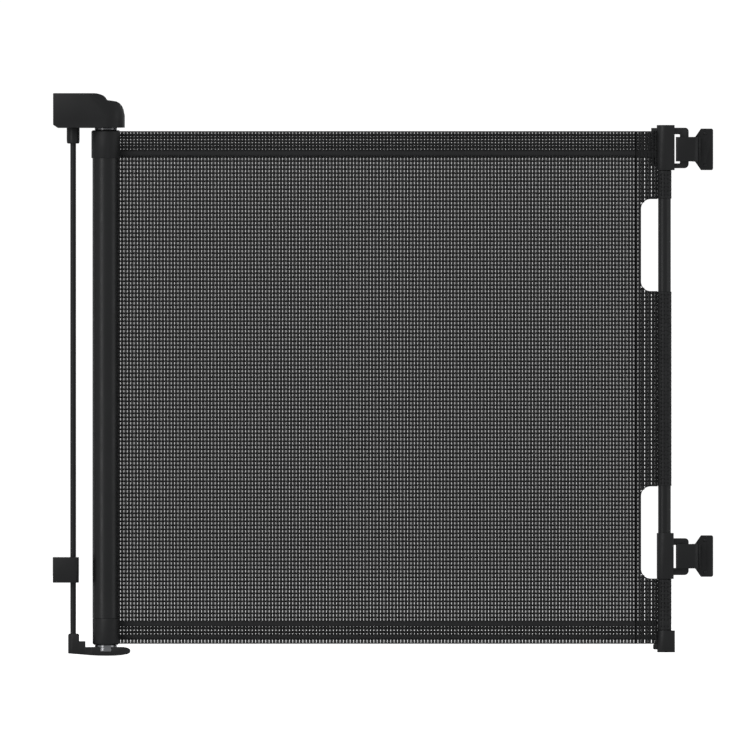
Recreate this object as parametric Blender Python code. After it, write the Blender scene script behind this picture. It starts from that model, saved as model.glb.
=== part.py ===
"""Retractable mesh pet gate, in metres, +Z up, front towards -Y.

The origin is on the floor plane, midway between the two ends and midway between front and back.
A spring roller in an upright housing at the left holds the mesh. The housing stands between a
top bracket and a foot, which a rod ties together. The mesh is drawn across to a handle bar,
whose two loops hang on two wall catches at the right.
"""

import math

import bmesh
import bpy

for old in list(bpy.data.objects):
    bpy.data.objects.remove(old, do_unlink=True)

# Overall sizes
WIDTH = 1.0774
HEIGHT = 0.917
HALF_DEPTH = 0.031
GAP = 0.0003
LEFT = -WIDTH / 2
RIGHT = WIDTH / 2
WALL_Y = HALF_DEPTH

# Mesh
MESH_BOTTOM = 0.0190
MESH_TOP = 0.8556
ROLL_R = 0.0115
MESH_Y = ROLL_R + 0.0011
MESH_THICK = 0.0016
TAPE_THICK = 0.0005
TAPE_WIDTH = 0.0082
CUT_LEFT = 0.4200
CUT_CORNER = 0.0165
UPPER_CUT = (0.5938, 0.7456)
LOWER_CUT = (0.1249, 0.2768)
SIDE_HEM_LEFT = 0.4118

# Housing and roller
TUBE_X = -0.4523
TUBE_R = 0.0218
TUBE_WALL = 0.0016
COLLAR_R = 0.0236
COLLAR_BOTTOM = 0.8115
COLLAR_TOP = 0.8568
CAP_TOP = 0.0606
CAP_BOTTOM = 0.0176
DISC_THICK = 0.0010
RING_R = 0.0183
LOW_RING_R = 0.0181
SHAFT_R = 0.0050
ROLLER_R = 0.0080
SLOT_HALF = 0.0024

# Top bracket and lock
BRACKET_BOTTOM = 0.8609
DOME_BOTTOM = 0.8612
BRACKET_LEFT = LEFT + 0.0008
DOME_R = HALF_DEPTH
LOCK_ROOM_R = 0.0277
LOCK_ROOM_TOP = 0.8930
DIAL_FLOOR = 0.8970
DIAL_R = 0.0203
BUTTON_R = 0.0080
RATCHET_R = 0.0130
RATCHET_ROOT_R = 0.0105
TEETH = 12
RATCHET_Z = (0.8690, 0.8750)
PAWL_PIVOT = (-0.0200, 0.0090)
PAWL_TIP = (-0.0116, -0.0005)
PAWL_SWING_DEG = 20.0

# Rod, lower wall block and foot
ROD_X = -0.5056
ROD_R = 0.0047
ROD_COLLAR_R = 0.0106
ROD_COLLAR_BOTTOM = 0.8352
BLOCK_RIGHT = -0.4966
BLOCK_Z = (0.1190, 0.1605)
BLOCK_FRONT = -0.0140
FOOT_HALF_DEPTH = 0.0160
FOOT_TOP = 0.0140

# Handle bar
BAR_X = 0.4590
BAR_R = 0.0104
BAR_WALL = 0.0015
WRAP_R = BAR_R + 0.0009
TOP_SLEEVE_Z = (0.7920, 0.8655)
LOW_SLEEVE_Z = (0.1250, 0.2000)
BAR_CAP_Z = (0.0052, 0.0410)
LOOP_HALF = 0.0040
LOOP_REACH = 0.0395
LOOP_LIMB = 0.0143

# Wall catches
CATCH_HALF = 0.0339
TONGUE_HALF = 0.0200
LEG_HALF = 0.0172
CATCH_PLATE = 0.0040
UPPER_CATCH_Z = 0.8261
LOWER_CATCH_Z = 0.1621


def material(name, colour, roughness, metallic=0.0):
    """One Principled material for one piece."""
    made = bpy.data.materials.new(name)
    made.use_nodes = True
    shader = made.node_tree.nodes["Principled BSDF"]
    shader.inputs["Base Color"].default_value = (*colour, 1.0)
    shader.inputs["Roughness"].default_value = roughness
    shader.inputs["Metallic"].default_value = metallic
    return made


BLACK_PLASTIC = ((0.022, 0.022, 0.023), 0.5, 0.0)
BLACK_PAINT = ((0.022, 0.022, 0.023), 0.35, 0.0)
BLACK_MESH = ((0.012, 0.012, 0.012), 0.8, 0.0)
DARK_CHROME = ((0.16, 0.16, 0.17), 0.15, 1.0)
STEEL = ((0.55, 0.56, 0.57), 0.35, 1.0)
ZINC = ((0.42, 0.43, 0.44), 0.45, 1.0)


def new_object(name, mesh):
    obj = bpy.data.objects.new(name, mesh)
    bpy.context.scene.collection.objects.link(obj)
    return obj


def from_bmesh(name, bm):
    bmesh.ops.recalc_face_normals(bm, faces=bm.faces)
    mesh = bpy.data.meshes.new(name)
    bm.to_mesh(mesh)
    bm.free()
    return new_object(name, mesh)


def prism(name, outline, low, high, along="Z"):
    """A closed outline carried straight from low to high. The outline is in XY, XZ or YZ."""
    place = {
        "Z": lambda u, v, w: (u, v, w),
        "Y": lambda u, v, w: (u, w, v),
        "X": lambda u, v, w: (w, u, v),
    }[along]
    bm = bmesh.new()
    first = [bm.verts.new(place(u, v, low)) for u, v in outline]
    last = [bm.verts.new(place(u, v, high)) for u, v in outline]
    bm.faces.new(first)
    bm.faces.new(list(reversed(last)))
    count = len(outline)
    for i in range(count):
        j = (i + 1) % count
        bm.faces.new((first[i], first[j], last[j], last[i]))
    return from_bmesh(name, bm)


def box(name, low, high):
    (x0, y0, z0), (x1, y1, z1) = low, high
    return prism(name, [(x0, y0), (x1, y0), (x1, y1), (x0, y1)], z0, z1)


def turned(name, profile, centre, steps=40):
    """A closed profile of (radius, height) turned about the upright axis through centre."""
    bm = bmesh.new()
    rings = []
    for radius, height in profile:
        if radius < 1e-7:
            rings.append([bm.verts.new((centre[0], centre[1], height))])
            continue
        ring = []
        for k in range(steps):
            angle = 2 * math.pi * k / steps
            ring.append(
                bm.verts.new(
                    (
                        centre[0] + radius * math.cos(angle),
                        centre[1] + radius * math.sin(angle),
                        height,
                    )
                )
            )
        rings.append(ring)
    for i, ring in enumerate(rings):
        other = rings[(i + 1) % len(rings)]
        if len(ring) == 1 and len(other) == 1:
            continue
        for k in range(steps):
            n = (k + 1) % steps
            if len(ring) == 1:
                bm.faces.new((ring[0], other[k], other[n]))
            elif len(other) == 1:
                bm.faces.new((ring[k], other[0], ring[n]))
            else:
                bm.faces.new((ring[k], other[k], other[n], ring[n]))
    return from_bmesh(name, bm)


def rod(name, radius, low, high, centre, steps=32):
    return turned(name, [(0, low), (radius, low), (radius, high), (0, high)], centre, steps)


def pipe(name, outer, inner, low, high, centre, steps=40):
    profile = [(inner, low), (outer, low), (outer, high), (inner, high)]
    return turned(name, profile, centre, steps)


def coil(name, radius, wire, low, high, turns, centre, per_turn=12, sides=6):
    """A round wire wound about an upright axis, with flat ends."""
    bm = bmesh.new()
    rings = []
    count = int(turns * per_turn)
    for i in range(count + 1):
        angle = 2 * math.pi * i / per_turn
        height = low + wire + (high - low - 2 * wire) * i / count
        ring = []
        for k in range(sides):
            turn = 2 * math.pi * k / sides
            out = radius + wire * math.cos(turn)
            ring.append(
                bm.verts.new(
                    (
                        centre[0] + out * math.cos(angle),
                        centre[1] + out * math.sin(angle),
                        height + wire * math.sin(turn),
                    )
                )
            )
        rings.append(ring)
    for a, b in zip(rings, rings[1:]):
        for k in range(sides):
            n = (k + 1) % sides
            bm.faces.new((a[k], a[n], b[n], b[k]))
    bm.faces.new(list(reversed(rings[0])))
    bm.faces.new(rings[-1])
    return from_bmesh(name, bm)


def rounded(corners, radii, steps=5):
    """An outline with each corner replaced by an arc of its own radius, or kept sharp at 0."""
    made = []
    count = len(corners)
    for i, (x, y) in enumerate(corners):
        radius = radii[i]
        if radius <= 0:
            made.append((x, y))
            continue
        (xa, ya), (xb, yb) = corners[i - 1], corners[(i + 1) % count]
        la, lb = math.hypot(xa - x, ya - y), math.hypot(xb - x, yb - y)
        ax, ay, bx, by = (xa - x) / la, (ya - y) / la, (xb - x) / lb, (yb - y) / lb
        half = math.acos(max(-1.0, min(1.0, ax * bx + ay * by))) / 2
        reach = radius / math.tan(half)
        mx, my = ax + bx, ay + by
        size = math.hypot(mx, my)
        cx = x + mx / size * radius / math.sin(half)
        cy = y + my / size * radius / math.sin(half)
        start = math.atan2(y + ay * reach - cy, x + ax * reach - cx)
        end = math.atan2(y + by * reach - cy, x + bx * reach - cx)
        sweep = (end - start + math.pi) % (2 * math.pi) - math.pi
        for k in range(steps + 1):
            angle = start + sweep * k / steps
            made.append((cx + radius * math.cos(angle), cy + radius * math.sin(angle)))
    return made


def combine(target, tool, how):
    """Cuts, joins or intersects with a tool shape, which is then removed."""
    modifier = target.modifiers.new(how, "BOOLEAN")
    modifier.operation = how
    modifier.solver = "EXACT"
    modifier.object = tool
    bpy.context.view_layer.update()
    graph = bpy.context.evaluated_depsgraph_get()
    mesh = bpy.data.meshes.new_from_object(target.evaluated_get(graph))
    target.modifiers.clear()
    old = target.data
    target.data = mesh
    bpy.data.meshes.remove(old)
    bpy.data.objects.remove(tool, do_unlink=True)
    return target


def cut(target, *tools):
    for tool in tools:
        combine(target, tool, "DIFFERENCE")
    return target


def join(target, *tools):
    for tool in tools:
        combine(target, tool, "UNION")
    return target


def finish(obj, look, origin=(0.0, 0.0, 0.0), smooth=True):
    """Gives a piece its material, shading and own origin."""
    mesh = obj.data
    for vertex in mesh.vertices:
        vertex.co.x -= origin[0]
        vertex.co.y -= origin[1]
        vertex.co.z -= origin[2]
    obj.location = origin
    mesh.name = obj.name
    mesh.materials.clear()
    mesh.materials.append(material(obj.name, *look))
    if smooth:
        mesh.shade_smooth()
        mesh.set_sharp_from_angle(angle=math.radians(32))
    return obj


TUBE = (TUBE_X, 0.0)
BAR = (BAR_X, MESH_Y)
ROD = (ROD_X, 0.0)

# ---------------------------------------------------------------- top bracket
# The arm runs from the wall to a round end over the housing. It stands 11 mm higher over the
# arm than over the round end, and the lock dial lies in the round end, half ringed by the arm.
side_outline = [
    (BRACKET_LEFT, BRACKET_BOTTOM + 0.0046),
    (BRACKET_LEFT + 0.0069, BRACKET_BOTTOM),
    (TUBE_X - 0.022, BRACKET_BOTTOM),
    (TUBE_X - 0.018, DOME_BOTTOM),
    (TUBE_X + DOME_R + 0.002, DOME_BOTTOM),
    (TUBE_X + DOME_R + 0.002, 0.8755),
    (TUBE_X + 0.0303, 0.8835),
    (TUBE_X + 0.0290, 0.8905),
    (TUBE_X + 0.0265, 0.8965),
    (TUBE_X + 0.0225, 0.9010),
    (TUBE_X + 0.0178, 0.9036),
    (TUBE_X + 0.0100, 0.9049),
    (TUBE_X + 0.0040, 0.9056),
    (TUBE_X + 0.0018, 0.9066),
    (TUBE_X + 0.0006, 0.9086),
    (TUBE_X - 0.0010, 0.9111),
    (TUBE_X - 0.0040, 0.9134),
    (TUBE_X - 0.0090, 0.9154),
    (TUBE_X - 0.0140, 0.9166),
    (TUBE_X - 0.0180, HEIGHT),
    (BRACKET_LEFT + 0.0008, HEIGHT),
    (BRACKET_LEFT, HEIGHT - 0.0008),
]
top_bracket = prism("top_bracket", side_outline, -HALF_DEPTH - 0.001, HALF_DEPTH + 0.001, "Y")
hull = bmesh.new()
for x in (LEFT - 0.001, TUBE_X - 0.030):
    for y in (-HALF_DEPTH, HALF_DEPTH):
        for z in (BRACKET_BOTTOM - 0.002, HEIGHT + 0.001):
            hull.verts.new((x, y, z))
for radius, height in (
    (DOME_R, BRACKET_BOTTOM - 0.002),
    (DOME_R, 0.8800),
    (0.0304, 0.8870),
    (0.0290, 0.8945),
    (0.0268, 0.9010),
    (0.0240, 0.9080),
    (0.0205, HEIGHT + 0.001),
):
    for k in range(48):
        angle = 2 * math.pi * k / 48
        hull.verts.new(
            (TUBE_X + radius * math.cos(angle), radius * math.sin(angle), height)
        )
made = bmesh.ops.convex_hull(hull, input=hull.verts)
spare = [v for v in made["geom_interior"] if isinstance(v, bmesh.types.BMVert)]
bmesh.ops.delete(hull, geom=spare, context="VERTS")
combine(top_bracket, from_bmesh("bracket_plan", hull), "INTERSECT")
cut(
    top_bracket,
    turned(
        "lock_space",
        [
            (0, DOME_BOTTOM - 0.01),
            (LOCK_ROOM_R, DOME_BOTTOM - 0.01),
            (LOCK_ROOM_R, LOCK_ROOM_TOP),
            (0.0100, LOCK_ROOM_TOP),
            (0.0100, DIAL_FLOOR),
            (DIAL_R + GAP, DIAL_FLOOR),
            (DIAL_R + GAP, HEIGHT + 0.01),
            (0, HEIGHT + 0.01),
        ],
        TUBE,
        48,
    ),
    box(
        "plate_pocket",
        (BRACKET_LEFT + 0.0040, 0.0160, BRACKET_BOTTOM + 0.0060),
        (ROD_X + 0.0090, WALL_Y + 0.01, HEIGHT - 0.0040),
    ),
    rod("rod_bore", ROD_R + GAP, BRACKET_BOTTOM - 0.01, 0.8850, ROD),
)
finish(top_bracket, BLACK_PLASTIC)

top_wall_plate = box(
    "top_wall_plate",
    (BRACKET_LEFT + 0.0046, WALL_Y - 0.0030, BRACKET_BOTTOM + 0.0066),
    (ROD_X + 0.0084, WALL_Y, HEIGHT - 0.0046),
)
for height in (0.8775, 0.9030):
    cut(
        top_wall_plate,
        prism(
            "plate_hole",
            [
                (
                    (LEFT + ROD_X) / 2 + 0.0026 * math.cos(math.pi * k / 8),
                    height + 0.0026 * math.sin(math.pi * k / 8),
                )
                for k in range(16)
            ],
            0.0,
            0.05,
            "Y",
        ),
    )
finish(top_wall_plate, ZINC)

lock_floor = pipe("lock_floor", LOCK_ROOM_R - GAP, 0.0073, DOME_BOTTOM + GAP, 0.8670, TUBE, 48)
pivot = (TUBE_X + PAWL_PIVOT[0], PAWL_PIVOT[1])
cut(lock_floor, rod("pin_hole", 0.0019, 0.86, 0.87, pivot, 20))
finish(lock_floor, BLACK_PLASTIC)

finish(rod("pawl_pin", 0.0016, 0.8645, 0.8770, pivot, 20), STEEL)

# ---------------------------------------------------------------- lock
# The dial turns through a quarter to bring the pawl onto the ratchet. A sprung button in its
# middle has to be pressed first.
lock_dial = turned(
    "lock_dial",
    [
        (0.0030, 0.8888),
        (0.0097, 0.8888),
        (0.0097, DIAL_FLOOR + GAP),
        (DIAL_R, DIAL_FLOOR + GAP),
        (DIAL_R, 0.9010),
        (0.0195, 0.9024),
        (0.0175, 0.9036),
        (0.0120, 0.9048),
        (0.0090, 0.9051),
        (BUTTON_R + GAP, 0.9048),
        (BUTTON_R + GAP, 0.8910),
        (0.0030, 0.8910),
    ],
    TUBE,
    48,
)
for side in (-1, 1):
    cut(
        lock_dial,
        turned(
            "thumb_hollow",
            [(0, 0.9035), (0.0030, 0.9040), (0.0042, 0.9060), (0.0042, 0.91), (0, 0.91)],
            (TUBE_X, side * 0.0142),
            24,
        ),
    )
finish(lock_dial, BLACK_PLASTIC, (TUBE_X, 0, DIAL_FLOOR))

cam = pipe("dial_cam_ring", 0.0128, 0.0100, 0.8896, 0.8926, TUBE, 36)
join(cam, rod("cam_finger", 0.0013, 0.8800, 0.8912, (TUBE_X + 0.0114, 0), 16))
finish(cam, ZINC, (TUBE_X, 0, 0.8911))

button = turned(
    "release_button",
    [
        (0, 0.8850),
        (0.0026, 0.8850),
        (0.0026, 0.8990),
        (BUTTON_R, 0.8990),
        (BUTTON_R, 0.9048),
        (0.0074, 0.9056),
        (0.0050, 0.9061),
        (0, 0.9062),
    ],
    TUBE,
    36,
)
finish(button, BLACK_PLASTIC, (TUBE_X, 0, 0.8990))
finish(
    coil("button_spring", 0.0052, 0.0005, 0.8913, 0.8987, 4, TUBE, 12, 6),
    STEEL,
    (TUBE_X, 0, 0.8913),
)

engaged = []
px, py = PAWL_PIVOT
tx, ty = PAWL_TIP
ux, uy = px - tx, py - ty
length = math.hypot(ux, uy)
ux, uy = ux / length, uy / length
engaged.append((tx - uy * 0.0003, ty + ux * 0.0003))
engaged.append((tx + uy * 0.0003, ty - ux * 0.0003))
engaged.append((tx + ux * 0.0030 + uy * 0.0013, ty + uy * 0.0030 - ux * 0.0013))
toward = math.atan2(-uy, -ux)
for k in range(13):
    angle = toward + math.radians(50) + math.radians(260) * k / 12
    engaged.append((px + 0.0040 * math.cos(angle), py + 0.0040 * math.sin(angle)))
engaged.append((tx + ux * 0.0030 - uy * 0.0013, ty + uy * 0.0030 + ux * 0.0013))
swing = math.radians(-PAWL_SWING_DEG)
resting = []
for x, y in engaged:
    dx, dy = x - px, y - py
    resting.append(
        (
            TUBE_X + px + dx * math.cos(swing) - dy * math.sin(swing),
            py + dx * math.sin(swing) + dy * math.cos(swing),
        )
    )
pawl = prism("pawl", resting, *RATCHET_Z)
cut(pawl, rod("pawl_bore", 0.0019, 0.86, 0.88, pivot, 20))
finish(pawl, STEEL, (pivot[0], pivot[1], RATCHET_Z[0]))

teeth = []
for k in range(TEETH):
    crest = math.radians(158 + 360 / TEETH * k)
    root = crest - math.radians(1)
    teeth.append((TUBE_X + RATCHET_ROOT_R * math.cos(root), RATCHET_ROOT_R * math.sin(root)))
    teeth.append((TUBE_X + RATCHET_R * math.cos(crest), RATCHET_R * math.sin(crest)))
ratchet = prism("ratchet_wheel", teeth, *RATCHET_Z)
cut(ratchet, rod("ratchet_bore", SHAFT_R + GAP, 0.86, 0.88, TUBE, 24))
finish(ratchet, STEEL, (TUBE_X, 0, RATCHET_Z[0]))

# ---------------------------------------------------------------- neck rings
finish(pipe("neck_ring_top", RING_R, 0.0073, COLLAR_TOP + GAP, DOME_BOTTOM - GAP, TUBE), DARK_CHROME)
finish(pipe("neck_ring_bottom", LOW_RING_R, 0.0056, 0.0070, CAP_BOTTOM - GAP, TUBE), DARK_CHROME)

# ---------------------------------------------------------------- rod
finish(rod("tie_rod", ROD_R, 0.0160, 0.8840, ROD, 24), BLACK_PAINT)
collar = turned(
    "rod_collar",
    [
        (ROD_R + GAP, ROD_COLLAR_BOTTOM),
        (ROD_COLLAR_R - 0.0016, ROD_COLLAR_BOTTOM),
        (ROD_COLLAR_R - 0.0005, ROD_COLLAR_BOTTOM + 0.0012),
        (ROD_COLLAR_R, BRACKET_BOTTOM - 0.003),
        (ROD_COLLAR_R, BRACKET_BOTTOM - GAP),
        (ROD_R + GAP, BRACKET_BOTTOM - GAP),
    ],
    ROD,
    32,
)
finish(collar, BLACK_PLASTIC)

block = prism(
    "lower_wall_block",
    rounded(
        [(LEFT, WALL_Y), (LEFT, BLOCK_FRONT), (BLOCK_RIGHT, BLOCK_FRONT), (BLOCK_RIGHT, WALL_Y)],
        [0, 0.0015, 0.0075, 0],
    ),
    *BLOCK_Z,
)
cut(
    block,
    rod("block_bore", ROD_R + GAP, 0.1, 0.2, ROD, 24),
    box(
        "block_pocket",
        (LEFT + 0.0040, 0.0160, BLOCK_Z[0] + 0.0040),
        (BLOCK_RIGHT - 0.0040, WALL_Y + 0.01, BLOCK_Z[1] - 0.0040),
    ),
)
finish(block, BLACK_PLASTIC)
plate = box(
    "lower_wall_plate",
    (LEFT + 0.0046, WALL_Y - 0.0030, BLOCK_Z[0] + 0.0046),
    (BLOCK_RIGHT - 0.0046, WALL_Y, BLOCK_Z[1] - 0.0046),
)
for height in (0.1315, 0.1480):
    cut(
        plate,
        prism(
            "plate_hole",
            [
                (
                    (LEFT + BLOCK_RIGHT) / 2 + 0.0026 * math.cos(math.pi * k / 8),
                    height + 0.0026 * math.sin(math.pi * k / 8),
                )
                for k in range(16)
            ],
            0.0,
            0.05,
            "Y",
        ),
    )
finish(plate, ZINC)

# ---------------------------------------------------------------- foot
# A rockered sole under the housing, with a socket for the rod and a step between them.
sole = [
    (-0.5139, 0.0036),
    (-0.4980, 0.0023),
    (-0.4800, 0.0009),
    (-0.4640, 0.0002),
    (-0.4520, 0.0),
    (-0.4380, 0.0002),
    (-0.4260, 0.0011),
    (-0.4170, 0.0026),
    (-0.4134, 0.0044),
    (-0.4120, 0.0072),
    (-0.4130, 0.0104),
    (-0.4170, 0.0129),
    (-0.4240, FOOT_TOP),
    (-0.4856, FOOT_TOP),
    (-0.4856, 0.0236),
    (-0.4958, 0.0236),
    (-0.4958, 0.0337),
    (-0.4975, 0.0360),
    (-0.5120, 0.0360),
    (-0.5139, 0.0340),
]
foot = prism("foot", sole, -FOOT_HALF_DEPTH, FOOT_HALF_DEPTH, "Y")
plan = rounded(
    [
        (-0.5142, -0.0088),
        (-0.4860, -0.0088),
        (-0.4760, -FOOT_HALF_DEPTH + 0.0001),
        (-0.4105, -FOOT_HALF_DEPTH + 0.0001),
        (-0.4105, FOOT_HALF_DEPTH - 0.0001),
        (-0.4760, FOOT_HALF_DEPTH - 0.0001),
        (-0.4860, 0.0088),
        (-0.5142, 0.0088),
    ],
    [0.0085, 0.006, 0.006, 0.0155, 0.0155, 0.006, 0.006, 0.0085],
    8,
)
combine(foot, prism("foot_plan", plan, -0.01, 0.05), "INTERSECT")
cut(
    foot,
    rod("ring_seat", LOW_RING_R + GAP, 0.0067, 0.03, TUBE, 40),
    rod("stud_bore", SHAFT_R + GAP, 0.0027, 0.03, TUBE, 24),
    rod("foot_rod_bore", ROD_R + GAP, 0.0155, 0.05, ROD, 24),
)
finish(foot, BLACK_PLASTIC)

# ---------------------------------------------------------------- housing
# The mesh leaves through a slot that runs down the tube, the collar and the end cap.
def slot(low, high):
    return box(
        "slot",
        (TUBE_X, MESH_Y - SLOT_HALF, low),
        (TUBE_X + 0.04, MESH_Y + SLOT_HALF, high),
    )


housing = pipe("housing_tube", TUBE_R, TUBE_R - TUBE_WALL, CAP_TOP + GAP, MESH_TOP - GAP, TUBE, 48)
cut(housing, slot(0.0, 0.9))
finish(housing, BLACK_PAINT)

top_collar = turned(
    "top_collar",
    [
        (0.0073, COLLAR_TOP - DISC_THICK),
        (TUBE_R + GAP, COLLAR_TOP - DISC_THICK),
        (TUBE_R + GAP, COLLAR_BOTTOM),
        (COLLAR_R - 0.0004, COLLAR_BOTTOM),
        (COLLAR_R, COLLAR_BOTTOM + 0.0006),
        (COLLAR_R, COLLAR_TOP - 0.0020),
        (COLLAR_R - 0.0020, COLLAR_TOP),
        (0.0073, COLLAR_TOP),
    ],
    TUBE,
    48,
)
cut(top_collar, slot(0.8, COLLAR_TOP - DISC_THICK - 0.00005))
finish(top_collar, BLACK_PLASTIC)

end_cap = turned(
    "bottom_end_cap",
    [
        (0.0056, CAP_BOTTOM),
        (TUBE_R - 0.0022, CAP_BOTTOM),
        (TUBE_R, CAP_BOTTOM + 0.0022),
        (TUBE_R, CAP_TOP),
        (TUBE_R - TUBE_WALL - 0.0003, CAP_TOP),
        (TUBE_R - TUBE_WALL - 0.0003, CAP_TOP + 0.012),
        (TUBE_R - TUBE_WALL - 0.0015, CAP_TOP + 0.012),
        (TUBE_R - TUBE_WALL - 0.0015, CAP_BOTTOM + DISC_THICK),
        (0.0056, CAP_BOTTOM + DISC_THICK),
    ],
    TUBE,
    48,
)
cut(end_cap, slot(CAP_BOTTOM + DISC_THICK + 0.00005, 0.09))
finish(end_cap, BLACK_PLASTIC)

# ---------------------------------------------------------------- spring and roller
mandrel = turned(
    "spring_mandrel",
    [
        (0, 0.0030),
        (SHAFT_R, 0.0030),
        (SHAFT_R, 0.0200),
        (0.0030, 0.0200),
        (0.0030, 0.3300),
        (0, 0.3300),
    ],
    TUBE,
    24,
)
finish(mandrel, STEEL)
finish(coil("torsion_spring", 0.0050, 0.0008, 0.0450, 0.3200, 22, TUBE, 10, 5), STEEL)

roller_at = (TUBE_X, 0, 0.0220)
finish(pipe("roller_tube", ROLLER_R, 0.0069, 0.0220, 0.8520, TUBE, 32), ZINC, roller_at)
plug = turned(
    "roller_plug_top",
    [
        (0, 0.8280),
        (0.0066, 0.8280),
        (0.0066, 0.8523),
        (ROLLER_R, 0.8523),
        (ROLLER_R, 0.8545),
        (SHAFT_R, 0.8545),
        (SHAFT_R, 0.8762),
        (0, 0.8762),
    ],
    TUBE,
    24,
)
finish(plug, BLACK_PLASTIC, roller_at)
finish(pipe("roller_plug_bottom", 0.0066, 0.0033, 0.0222, 0.0400, TUBE, 24), BLACK_PLASTIC, roller_at)
finish(
    pipe("wound_mesh", ROLL_R, ROLLER_R + GAP, MESH_BOTTOM + 0.0002, MESH_TOP - 0.0002, TUBE, 36),
    BLACK_MESH,
    roller_at,
)

# ---------------------------------------------------------------- mesh
mesh_left = TUBE_X
mesh_right = BAR_X - WRAP_R - 0.0019


def notched(left):
    """The mesh seen from the front, from left to the bar, with its two hand cut-outs."""
    corners = [(left, MESH_BOTTOM), (mesh_right, MESH_BOTTOM)]
    radii = [0, 0]
    for low, high in (LOWER_CUT, UPPER_CUT):
        corners += [(mesh_right, low), (CUT_LEFT, low), (CUT_LEFT, high), (mesh_right, high)]
        radii += [0, CUT_CORNER, CUT_CORNER, 0]
    corners += [(mesh_right, MESH_TOP), (left, MESH_TOP)]
    return rounded(corners, radii + [0, 0], 6)


bar_at = (BAR_X, MESH_Y, 0.0)
back = MESH_Y + MESH_THICK / 2
front = MESH_Y - MESH_THICK / 2
finish(prism("mesh_panel", notched(mesh_left), front, back, "Y"), BLACK_MESH, bar_at, False)
tape = (front - GAP - TAPE_THICK, front - GAP)
finish(
    prism("side_hem", notched(SIDE_HEM_LEFT), *tape, "Y"),
    BLACK_MESH,
    bar_at,
    False,
)
for name, low, wide in (
    ("top_hem_tape", 0.8158, TAPE_WIDTH),
    ("bottom_hem_tape", 0.0478, TAPE_WIDTH),
    ("bottom_edge_tape", 0.0280, TAPE_WIDTH * 0.6),
):
    strip = box(
        name,
        (TUBE_X + ROLL_R - 0.0035, tape[0], low),
        (SIDE_HEM_LEFT - GAP, tape[1], low + wide),
    )
    finish(strip, BLACK_MESH, bar_at, False)

for name, low, high in (
    ("hem_wrap_top", UPPER_CUT[1], TOP_SLEEVE_Z[0] - GAP),
    ("hem_wrap_middle", LOWER_CUT[1], UPPER_CUT[0]),
    ("hem_wrap_bottom", BAR_CAP_Z[1] + GAP, LOWER_CUT[0]),
):
    finish(pipe(name, WRAP_R, BAR_R + GAP, low, high, BAR, 36), BLACK_MESH, bar_at)

# ---------------------------------------------------------------- handle bar
finish(pipe("handle_bar", BAR_R, BAR_R - BAR_WALL, BAR_CAP_Z[0] + 0.0040, 0.8630, BAR, 36), BLACK_PAINT, bar_at)


def loop_sleeve(name, low, high, flat, loop, hole_z, closed):
    """A sleeve on the bar with a flat right side and a square loop standing out from it."""
    outer = BAR_R + 0.0022
    reach = LOOP_REACH
    # A round sleeve whose right side is squared off at flat.
    arc = []
    for k in range(25):
        angle = math.radians(62 + 236 * k / 24)
        arc.append((BAR_X + outer * math.cos(angle), MESH_Y + outer * math.sin(angle)))
    outline = rounded(
        arc + [(BAR_X + flat, MESH_Y - 0.0098), (BAR_X + flat, MESH_Y + 0.0098)],
        [0] * 25 + [0.0020, 0.0020],
        3,
    )
    body = prism(name, outline, low, high)
    frame = prism(
        "loop",
        rounded(
            [
                (BAR_X + flat - 0.002, loop[0]),
                (BAR_X + reach, loop[0]),
                (BAR_X + reach, loop[1]),
                (BAR_X + flat - 0.002, loop[1]),
            ],
            [0, 0.0070, 0.0058, 0],
        ),
        MESH_Y - LOOP_HALF,
        MESH_Y + LOOP_HALF,
        "Y",
    )
    hole = prism(
        "loop_hole",
        rounded(
            [
                (BAR_X + flat - 0.0006, hole_z[0]),
                (BAR_X + reach - LOOP_LIMB, hole_z[0]),
                (BAR_X + reach - LOOP_LIMB, hole_z[1]),
                (BAR_X + flat - 0.0006, hole_z[1]),
            ],
            [0, 0.0010, 0.0010, 0],
            3,
        ),
        MESH_Y - 0.02,
        MESH_Y + 0.02,
        "Y",
    )
    cut(frame, hole)
    join(body, frame)
    if closed:
        join(
            body,
            box(
                "hem_tab",
                (BAR_X - 0.0216, MESH_Y + 0.0012, low + 0.0080),
                (BAR_X - 0.0090, MESH_Y + 0.0044, high - 0.0046),
            ),
        )
    bore_top = high - 0.0022 if closed else high + 0.01
    cut(body, rod("sleeve_bore", BAR_R + GAP, low - 0.01, bore_top, BAR, 36))
    return finish(body, BLACK_PLASTIC, bar_at)


loop_sleeve("upper_loop_sleeve", *TOP_SLEEVE_Z, BAR_R + 0.0061, (0.7951, 0.8612), (0.8030, 0.8505), True)
loop_sleeve("lower_loop_sleeve", *LOW_SLEEVE_Z, BAR_R + 0.0046, (0.1313, 0.1914), (0.1428, 0.1804), False)

cap_outer = BAR_R + 0.0015
arc = []
for k in range(25):
    angle = math.radians(62 + 236 * k / 24)
    arc.append((BAR_X + cap_outer * math.cos(angle), MESH_Y + cap_outer * math.sin(angle)))
bar_cap = prism(
    "bar_end_cap",
    rounded(
        arc + [(BAR_X + BAR_R + 0.0067, MESH_Y - 0.0095), (BAR_X + BAR_R + 0.0067, MESH_Y + 0.0095)],
        [0] * 25 + [0.0030, 0.0030],
        3,
    ),
    *BAR_CAP_Z,
)
join(
    bar_cap,
    prism(
        "cap_nub",
        rounded(
            [(0.4404, 0.0098), (0.4540, 0.0098), (0.4540, 0.0190), (0.4404, 0.0190)],
            [0.002, 0, 0, 0.002],
            3,
        ),
        MESH_Y - 0.003,
        MESH_Y + 0.003,
        "Y",
    ),
)
cut(bar_cap, rod("cap_bore", BAR_R + GAP, BAR_CAP_Z[0] + 0.0035, 0.06, BAR, 36))
finish(bar_cap, BLACK_PLASTIC, bar_at)

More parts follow.
